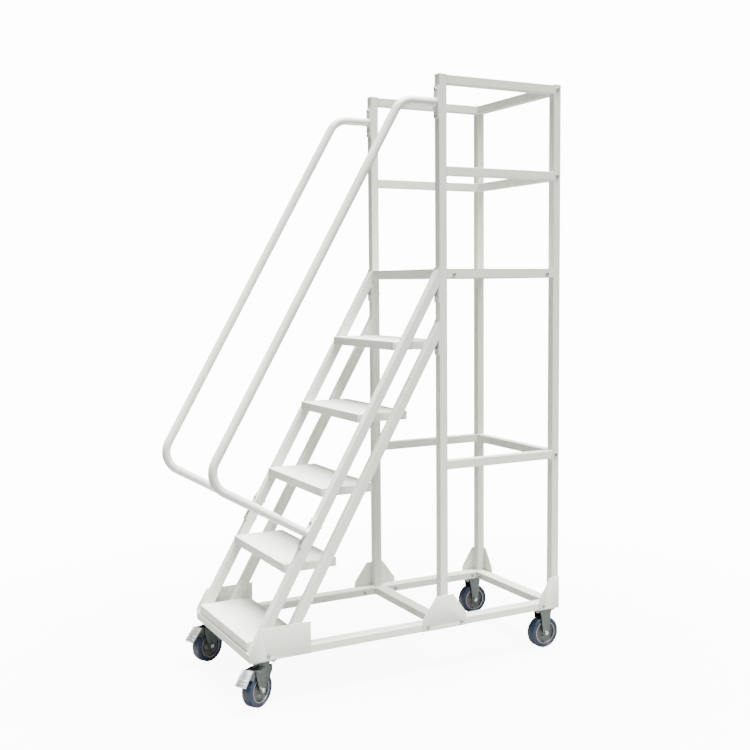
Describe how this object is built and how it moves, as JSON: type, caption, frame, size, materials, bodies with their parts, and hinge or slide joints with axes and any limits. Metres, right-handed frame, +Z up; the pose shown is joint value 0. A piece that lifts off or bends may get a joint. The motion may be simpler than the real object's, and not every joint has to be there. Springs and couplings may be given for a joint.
{
  "type": "rolling warehouse ladder",
  "caption": "Rolling platform ladder: square-tube tower with guard rails and deck, sloping sheet-tread stair, bent handrails, and a base frame on braked swivel and fixed casters.",
  "frame": {"origin": "on the floor, midway between the two sides and midway between the front of the handrails and the back of the tower", "axes": "+Z up, +Y the way a person climbs, +X to the climber's right"},
  "size_m": [0.7573, 1.7458, 2.661],
  "materials": {
    "frame_paint": "fine-textured off-white powder coat, satin",
    "rail_paint": "fine-textured off-white powder coat, satin",
    "deck_paint": "fine-textured off-white powder coat, satin",
    "base_paint": "fine-textured off-white powder coat, satin",
    "gusset_paint": "fine-textured off-white powder coat, satin",
    "stringer_paint": "fine-textured off-white powder coat, satin",
    "tread_paint": "fine-textured off-white powder coat, satin",
    "handrail_paint": "fine-textured off-white powder coat, satin",
    "cap_plastic": "off-white moulded plastic, satin",
    "zinc_bolt": "bright zinc plate",
    "zinc_caster": "zinc-plated pressed steel",
    "pedal_steel": "zinc-plated pressed steel, worn bright",
    "axle_steel": "zinc-plated turned steel",
    "wheel_core_plastic": "light grey nylon",
    "tyre_polyurethane": "dark blue polyurethane, satin"
  },
  "bodies": {
    "frame": {"post_front_left": "frame_paint", "post_front_right": "frame_paint", "post_rear_left": "frame_paint", "post_rear_right": "frame_paint", "top_rail_left": "rail_paint", "top_rail_right": "rail_paint", "top_rail_rear": "rail_paint", "mid_rail_left": "rail_paint", "mid_rail_right": "rail_paint", "mid_rail_rear": "rail_paint", "lower_rail_left": "rail_paint", "lower_rail_right": "rail_paint", "lower_rail_rear": "rail_paint", "platform_rail_left": "frame_paint", "platform_rail_right": "frame_paint", "platform_rail_front": "frame_paint", "platform_rail_rear": "frame_paint", "platform_deck": "deck_paint", "post_caps": "cap_plastic", "base_rail_left": "base_paint", "base_rail_right": "base_paint", "base_cross_rail_front": "base_paint", "base_cross_rail_middle": "base_paint", "base_cross_rail_rear": "base_paint", "stair_foot_gusset_left": "gusset_paint", "stair_foot_gusset_right": "gusset_paint", "rear_corner_gusset_left": "gusset_paint", "rear_corner_gusset_right": "gusset_paint", "front_post_gussets": "gusset_paint", "stringer_front_left": "stringer_paint", "stringer_front_right": "stringer_paint", "stringer_rear_left": "stringer_paint", "stringer_rear_right": "stringer_paint", "tread_1": "tread_paint", "tread_2": "tread_paint", "tread_3": "tread_paint", "tread_4": "tread_paint", "tread_5": "tread_paint", "handrail_left": "handrail_paint", "handrail_right": "handrail_paint", "hex_bolts": "zinc_bolt", "rigid_fork_left": "zinc_caster", "rigid_fork_right": "zinc_caster", "swivel_plate_left": "zinc_caster", "swivel_plate_right": "zinc_caster", "rear_axles": "axle_steel"},
    "swivel_left": {"swivel_fork_left": "zinc_caster", "front_axle_left": "axle_steel"},
    "brake_left": {"brake_pedal_left": "pedal_steel"},
    "front_wheel_left": {"wheel_core_front_left": "wheel_core_plastic", "tyre_front_left": "tyre_polyurethane"},
    "rear_wheel_left": {"wheel_core_rear_left": "wheel_core_plastic", "tyre_rear_left": "tyre_polyurethane"},
    "swivel_right": {"swivel_fork_right": "zinc_caster", "front_axle_right": "axle_steel"},
    "brake_right": {"brake_pedal_right": "pedal_steel"},
    "front_wheel_right": {"wheel_core_front_right": "wheel_core_plastic", "tyre_front_right": "tyre_polyurethane"},
    "rear_wheel_right": {"wheel_core_rear_right": "wheel_core_plastic", "tyre_rear_right": "tyre_polyurethane"}
  },
  "joints": [
    {"name": "caster_swivel_left", "type": "hinge", "parent": "frame", "child": "swivel_left", "pos_m": [-0.31, -0.651, 0.17], "axis": [0, 0, 1], "continuous": true},
    {"name": "front_wheel_spin_left", "type": "hinge", "parent": "swivel_left", "child": "front_wheel_left", "pos_m": [-0.29502, -0.68809, 0.075], "axis": [0.9272, 0.3746, 0], "continuous": true},
    {"name": "brake_pedal_lift_left", "type": "hinge", "parent": "swivel_left", "child": "brake_left", "pos_m": [-0.28677, -0.70849, 0.157], "axis": [-0.9272, -0.3746, 0], "range_deg": [0, 20]},
    {"name": "rear_wheel_spin_left", "type": "hinge", "parent": "frame", "child": "rear_wheel_left", "pos_m": [-0.31, 0.793, 0.075], "axis": [1, 0, 0], "continuous": true},
    {"name": "caster_swivel_right", "type": "hinge", "parent": "frame", "child": "swivel_right", "pos_m": [0.31, -0.651, 0.17], "axis": [0, 0, 1], "continuous": true},
    {"name": "front_wheel_spin_right", "type": "hinge", "parent": "swivel_right", "child": "front_wheel_right", "pos_m": [0.33, -0.68564, 0.075], "axis": [0.866, 0.5, 0], "continuous": true},
    {"name": "brake_pedal_lift_right", "type": "hinge", "parent": "swivel_right", "child": "brake_right", "pos_m": [0.341, -0.70469, 0.157], "axis": [-0.866, -0.5, 0], "range_deg": [0, 20]},
    {"name": "rear_wheel_spin_right", "type": "hinge", "parent": "frame", "child": "rear_wheel_right", "pos_m": [0.31, 0.793, 0.075], "axis": [1, 0, 0], "continuous": true}
  ]
}
